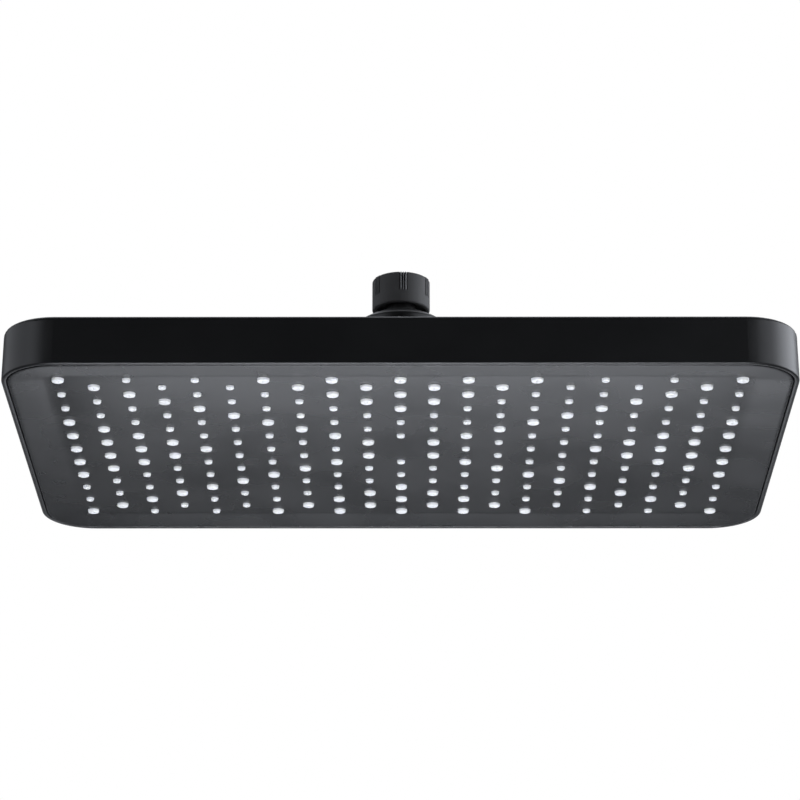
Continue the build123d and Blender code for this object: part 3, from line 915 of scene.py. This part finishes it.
def studio_lamps():
    """The lamps: a pair at each side, a small one low behind the head, a wide one far behind it,
    one underneath and one on top.
    """
    softbox("right_softbox", (0.95, 0.12, 0.15), width=1.0, height=0.9, radiance=3.6)
    softbox("right_front_softbox", (0.71, -0.63, 0.2), width=0.55, height=0.7, radiance=1.4)
    softbox("left_softbox", (-0.95, -0.08, 0.15), width=1.7, height=0.9, radiance=0.8)
    softbox("left_front_softbox", (-0.7, -0.68, 0.2), width=0.5, height=0.7, radiance=0.42)
    low_place, low_target = (0.01, 0.3, -0.425), (0.01, 0, -0.425)
    softbox("low_softbox", low_place, width=0.33, height=0.37, radiance=2.8, target=low_target)
    softbox("back_softbox", (0, 2.4, -0.18), width=3.2, height=0.82, radiance=0.72)
    softbox("under_softbox", (0, -0.5, -1.0), width=0.4, height=0.4, radiance=22.0)
    softbox("top_softbox", (0, 0.5, 1.1), width=1.5, height=1.2, radiance=1.2)


def studio_world():
    """White for the camera, and for the object a room bright behind and below and dim in front."""
    world = bpy.data.worlds.new("studio_world")
    bpy.context.scene.world = world
    world.use_nodes = True
    nodes, links = world.node_tree.nodes, world.node_tree.links
    background = nodes["Background"]
    direction = nodes.new("ShaderNodeTexCoord").outputs["Generated"]
    bright_side = nodes.new("ShaderNodeVectorMath")
    bright_side.operation = "DOT_PRODUCT"
    bright_side.inputs[1].default_value = Vector(WORLD_BRIGHT_SIDE).normalized()
    level = nodes.new("ShaderNodeMapRange")
    level.interpolation_type = "SMOOTHSTEP"
    level.inputs["From Min"].default_value = WORLD_DIM_FROM
    level.inputs["From Max"].default_value = WORLD_BRIGHT_FROM
    level.inputs["To Min"].default_value = WORLD_DIM
    level.inputs["To Max"].default_value = WORLD_BRIGHT
    path = nodes.new("ShaderNodeLightPath")
    seen = nodes.new("ShaderNodeMath")
    seen.operation = "MAXIMUM"
    shown = nodes.new("ShaderNodeMix")
    shown.inputs["B"].default_value = 1.0
    links.new(direction, bright_side.inputs[0])
    links.new(bright_side.outputs["Value"], level.inputs["Value"])
    links.new(path.outputs["Is Camera Ray"], seen.inputs[0])
    links.new(path.outputs["Is Transmission Ray"], seen.inputs[1])
    links.new(seen.outputs["Value"], shown.inputs["Factor"])
    links.new(level.outputs["Result"], shown.inputs["A"])
    links.new(shown.outputs["Result"], background.inputs["Color"])


def studio_floor(colour):
    """A floor well below the head, near white with a faint mottle, on which the shadow falls.

    It glows for the camera alone, and the head's diffuse and glossy rays pass it by.
    """
    half = FLOOR_HALF
    plan = ((-half, -half), (half, -half), (half, half), (-half, half))
    mesh = bpy.data.meshes.new("studio_floor")
    mesh.from_pydata([(x, y, -FLOOR_DROP) for x, y in plan], [], [(0, 1, 2, 3)])
    shader = Shader("floor_paint")
    shader.mottle(colour, amount=0.02, scale=3, detail=3)
    shader.surface.inputs["Roughness"].default_value = FLOOR_ROUGHNESS
    shader.surface.inputs["Emission Color"].default_value = FLOOR_GLOW
    seen = shader.nodes.new("ShaderNodeLightPath").outputs["Is Camera Ray"]
    shader.links.new(seen, shader.surface.inputs["Emission Strength"])
    mesh.materials.append(shader.material)
    floor = bpy.data.objects.new("studio_floor", mesh)
    floor.visible_diffuse = False
    floor.visible_glossy = False
    bpy.context.scene.collection.objects.link(floor)


class SHOWER_OT_stage(bpy.types.Operator):
    """Sets up the pale floor, the white background, the soft lamps and the camera"""

    bl_idname = "shower.stage"
    bl_label = "Studio"

    def execute(self, context):
        context.scene.view_settings.view_transform = "Standard"
        studio_world()
        studio_floor(context.scene.shower_colours.floor)
        studio_lamps()
        studio_camera()
        return {"FINISHED"}


class SHOWER_PT_sidebar(bpy.types.Panel):
    """Lists the steps that dress the shower head"""

    bl_idname = "SHOWER_PT_sidebar"
    bl_label = "Rain shower head"
    bl_space_type = "VIEW_3D"
    bl_region_type = "UI"
    bl_category = "Shower"

    def draw(self, context):
        for operator in OPERATORS:
            self.layout.operator(operator.bl_idname)


OPERATORS = (
    SHOWER_OT_housing,
    SHOWER_OT_fitting,
    SHOWER_OT_panel,
    SHOWER_OT_nozzles,
    SHOWER_OT_inner_parts,
    SHOWER_OT_stage,
)
GROUPS = {
    "shower_panel": SHOWER_PG_panel,
    "shower_screws": SHOWER_PG_screws,
    "shower_fitting": SHOWER_PG_fitting,
    "shower_colours": SHOWER_PG_colours,
}


def register():
    """Registers the classes and hangs the property groups on the scene."""
    for group in GROUPS.values():
        bpy.utils.register_class(group)
    for name, group in GROUPS.items():
        setattr(bpy.types.Scene, name, PointerProperty(type=group))
    for operator in OPERATORS:
        bpy.utils.register_class(operator)
    bpy.utils.register_class(SHOWER_PT_sidebar)


def unregister():
    """Takes back what register did."""
    bpy.utils.unregister_class(SHOWER_PT_sidebar)
    for operator in reversed(OPERATORS):
        bpy.utils.unregister_class(operator)
    for name, group in GROUPS.items():
        delattr(bpy.types.Scene, name)
        bpy.utils.unregister_class(group)


def main():
    """Dresses the part step by step."""
    register()
    bpy.ops.shower.housing()
    bpy.ops.shower.fitting()
    bpy.ops.shower.panel()
    bpy.ops.shower.nozzles()
    bpy.ops.shower.inner_parts()
    bpy.ops.shower.stage()


if __name__ == "__main__":
    main()
